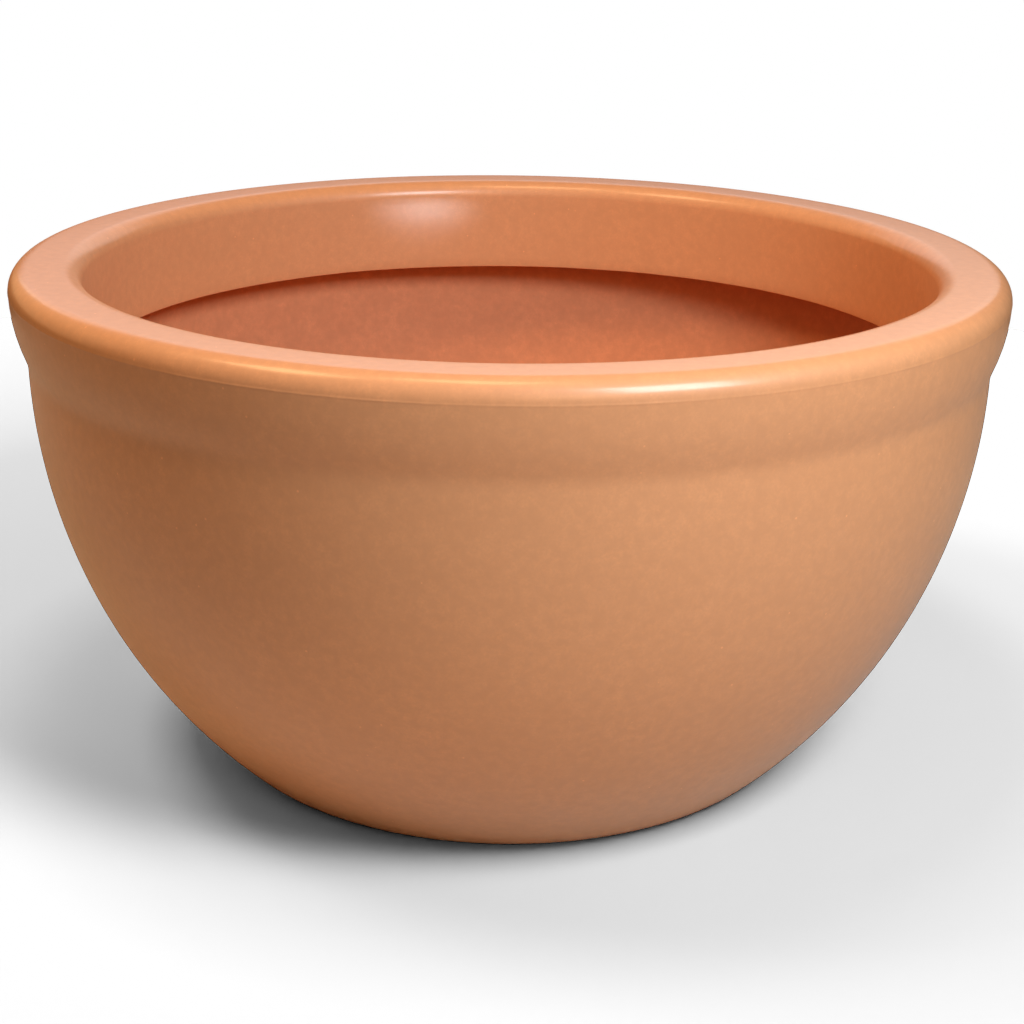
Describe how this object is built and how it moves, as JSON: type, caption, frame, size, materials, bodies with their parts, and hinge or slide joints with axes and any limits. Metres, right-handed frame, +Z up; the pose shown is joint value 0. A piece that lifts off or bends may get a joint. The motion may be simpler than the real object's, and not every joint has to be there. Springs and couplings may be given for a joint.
{
  "type": "planting bowl",
  "caption": "Wide round planting bowl with a bulging collar, a flat-topped rolled rim that turns down inside the mouth, a ring foot and a push-in drain plug.",
  "frame": {"origin": "on the pot's axis, at the height of the surface that it stands on", "axes": "+Z up along the pot's axis; the pot is round, and the drainage grooves under its foot lie midway between +X, +Y, -X and -Y"},
  "size_m": [0.5006, 0.5006, 0.26],
  "materials": {
    "shell_plastic": "satin",
    "plug_rubber": "matte"
  },
  "bodies": {
    "pot": {"pot_shell": "shell_plastic"},
    "plug": {"drain_plug": "plug_rubber"}
  },
  "joints": [
    {"name": "drain_plug_pull", "type": "slide", "parent": "pot", "child": "plug", "axis": [0, 0, 1], "range_m": [0, 0.27]}
  ]
}
